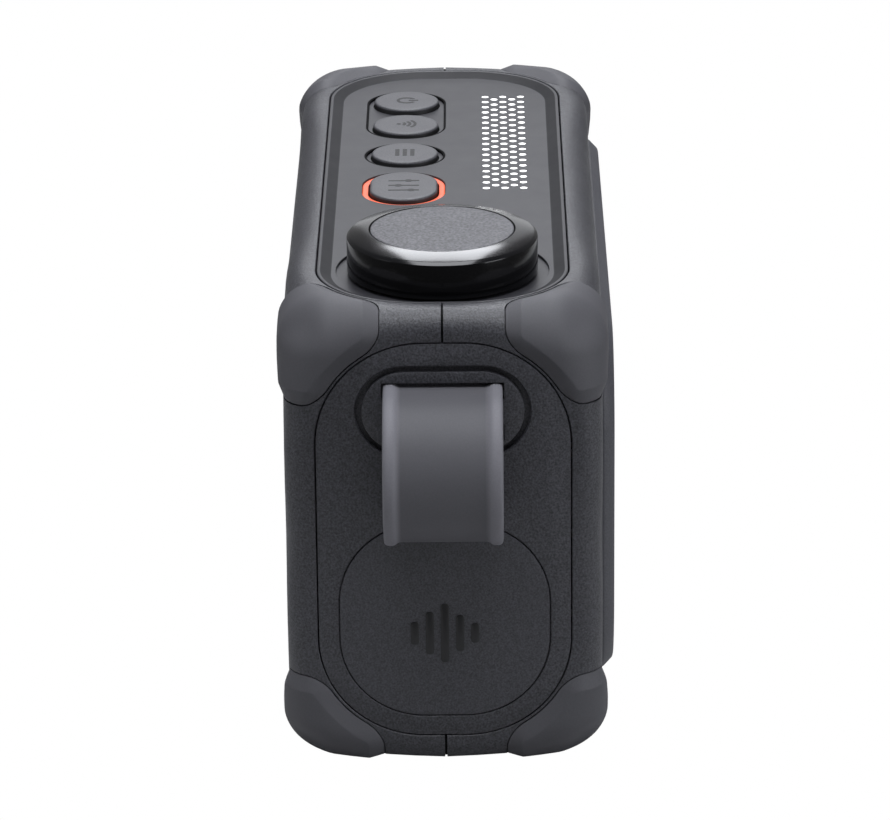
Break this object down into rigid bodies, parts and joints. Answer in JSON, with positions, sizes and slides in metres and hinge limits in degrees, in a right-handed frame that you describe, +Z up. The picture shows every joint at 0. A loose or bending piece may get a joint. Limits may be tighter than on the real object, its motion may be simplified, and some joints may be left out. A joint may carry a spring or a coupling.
{
  "type": "portable practice amplifier",
  "caption": "Portable practice amplifier and wireless loudspeaker with a dished control panel, a large push knob, corner guards and a carry strap.",
  "frame": {"origin": "centre of the whole object's footprint, on the surface its lower corner guards stand on", "axes": "+X runs along the casing towards the end with the big knob and the carry strap, -Y is the grille's side (front), +Z is up"},
  "size_m": [0.2734, 0.0946, 0.1494],
  "materials": {
    "case": "fine spark texture, charcoal",
    "badge": "satin charcoal",
    "panel": "fine grain, mid grey",
    "grille": "perforated, satin",
    "cloth": "acoustic cloth",
    "screws": "zinc plated",
    "strap": "soft, matt",
    "guards": "soft, matt",
    "light_ring": "translucent, lit from below",
    "black_plastic": "moulded",
    "circuit_board": "solder mask",
    "diffuser": "translucent white",
    "steel": "plated",
    "brass": "plain",
    "knob_gloss": "polished black wall, bright chamfer",
    "knob_disc": "fine-blasted, satin",
    "basket": "satin",
    "surround": "matt",
    "cone": "coated paper",
    "battery": "sleeved",
    "rear_cover": "fine spark texture"
  },
  "bodies": {
    "casing": {"front_shell": "case", "rear_shell": "case", "case_screws": "screws", "top_panel": "panel", "front_grille": "grille", "grille_cloth": "cloth", "end_cap_right": "case", "end_cap_left": "case", "badge_right": "badge", "badge_left": "badge", "strap_plug": "case", "plug_screws": "screws", "carry_strap": "strap", "guard_top_right_front": "guards", "guard_top_right_rear": "guards", "guard_top_left_front": "guards", "guard_top_left_rear": "guards", "guard_bottom_right_front": "guards", "guard_bottom_right_rear": "guards", "guard_bottom_left_front": "guards", "guard_bottom_left_rear": "guards", "effects_light_ring": "light_ring", "button_switches": "black_plastic", "control_board": "circuit_board", "board_screws": "screws", "led_matrix": "diffuser", "light_guide": "diffuser", "encoder_body": "steel", "encoder_nut": "steel", "baffle": "black_plastic", "driver_basket": "basket", "driver_surround": "surround", "driver_magnet": "steel", "radiator_frame": "basket", "radiator_surround": "surround", "speaker_screws": "screws", "battery_tray": "black_plastic", "battery_cells": "battery", "main_board": "circuit_board", "rear_cover": "rear_cover", "cover_screws": "screws", "port_panel": "black_plastic", "instrument_jack": "black_plastic", "jack_nut": "steel", "headphone_jack": "black_plastic", "usb_socket": "steel"},
    "knob_spindle": {"encoder_rotor": "brass"},
    "knob": {"encoder_shaft": "steel", "knob_hub": "black_plastic", "knob_ring": "knob_gloss", "knob_cap": "knob_disc"},
    "power_key": {"power_button": "panel"},
    "wireless_key": {"wireless_button": "panel"},
    "menu_key": {"menu_button": "panel"},
    "effects_key": {"effects_button": "panel"},
    "cone": {"driver_cone": "cone", "voice_coil": "brass"},
    "radiator": {"radiator_disc": "cone"}
  },
  "joints": [
    {"name": "knob_turn", "type": "hinge", "parent": "casing", "child": "knob_spindle", "pos_m": [0.06835, -0.0008, 0.137], "axis": [0, 0, 1], "continuous": true},
    {"name": "knob_press", "type": "slide", "parent": "knob_spindle", "child": "knob", "axis": [0, 0, -1], "range_m": [0, 0.0005], "stiffness_N_per_m": 6000, "springref_m": -0.0002},
    {"name": "power_press", "type": "slide", "parent": "casing", "child": "power_key", "axis": [0, 0, -1], "range_m": [0, 0.0006], "stiffness_N_per_m": 2000, "springref_m": -0.0002},
    {"name": "wireless_press", "type": "slide", "parent": "casing", "child": "wireless_key", "axis": [0, 0, -1], "range_m": [0, 0.0006], "stiffness_N_per_m": 2000, "springref_m": -0.0002},
    {"name": "menu_press", "type": "slide", "parent": "casing", "child": "menu_key", "axis": [0, 0, -1], "range_m": [0, 0.0006], "stiffness_N_per_m": 2000, "springref_m": -0.0002},
    {"name": "effects_press", "type": "slide", "parent": "casing", "child": "effects_key", "axis": [0, 0, -1], "range_m": [0, 0.0006], "stiffness_N_per_m": 2000, "springref_m": -0.0002},
    {"name": "cone_travel", "type": "slide", "parent": "casing", "child": "cone", "axis": [0, -1, 0], "range_m": [-0.002, 0.002], "stiffness_N_per_m": 2000},
    {"name": "radiator_travel", "type": "slide", "parent": "casing", "child": "radiator", "axis": [0, -1, 0], "range_m": [-0.002, 0.002], "stiffness_N_per_m": 1200}
  ]
}
